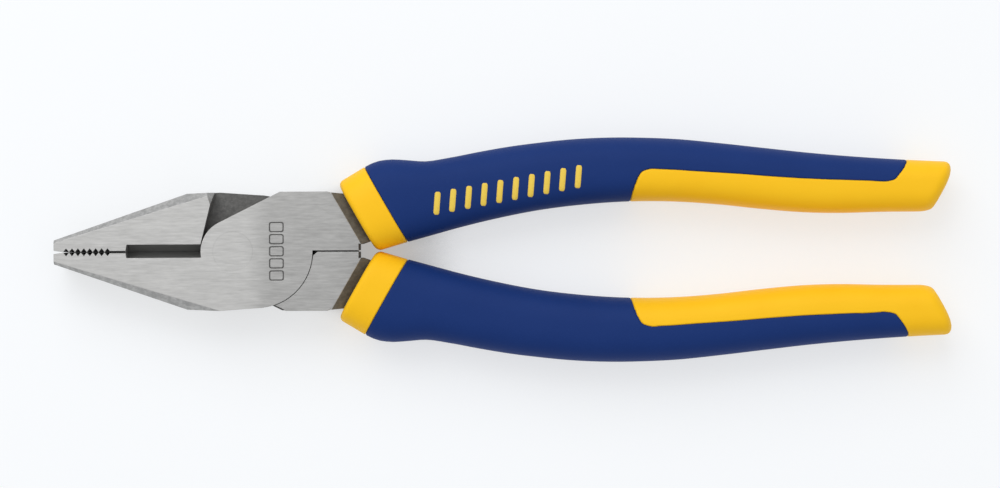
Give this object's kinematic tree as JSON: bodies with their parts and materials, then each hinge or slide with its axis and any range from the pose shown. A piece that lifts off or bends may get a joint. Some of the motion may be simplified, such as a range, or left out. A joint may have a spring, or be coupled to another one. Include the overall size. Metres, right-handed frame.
{
  "type": "lineman pliers",
  "caption": "Combination pliers with serrated jaws, side cutting knives, a flush riveted lap joint and long two-colour moulded grips.",
  "frame": {"origin": "on the pivot axis, half way through the head's thickness, where the two laps meet", "axes": "+X from the jaws to the handles along the tool's centre line, +Y towards the upper jaw and handle, +Z along the pivot axis out of the front face"},
  "size_m": [0.2024, 0.0506, 0.016],
  "materials": {
    "forged_steel": "fine ground faces, dark oxide in the recesses and on the neck",
    "rivet_steel": "ground flush with the head",
    "grip_core": "satin moulded elastomer, yellow",
    "grip_cover": "fine matte moulded texture, blue"
  },
  "bodies": {
    "front_half": {"front_lever": "forged_steel", "pivot_rivet": "rivet_steel", "upper_grip_core": "grip_core", "upper_grip_cover": "grip_cover"},
    "back_half": {"back_lever": "forged_steel", "lower_grip_core": "grip_core", "lower_grip_cover": "grip_cover"}
  },
  "joints": [
    {"name": "jaw_pivot", "type": "hinge", "parent": "front_half", "child": "back_half", "pos_m": [0, 0, 0], "axis": [0, 0, -1], "range_deg": [0, 49]}
  ]
}
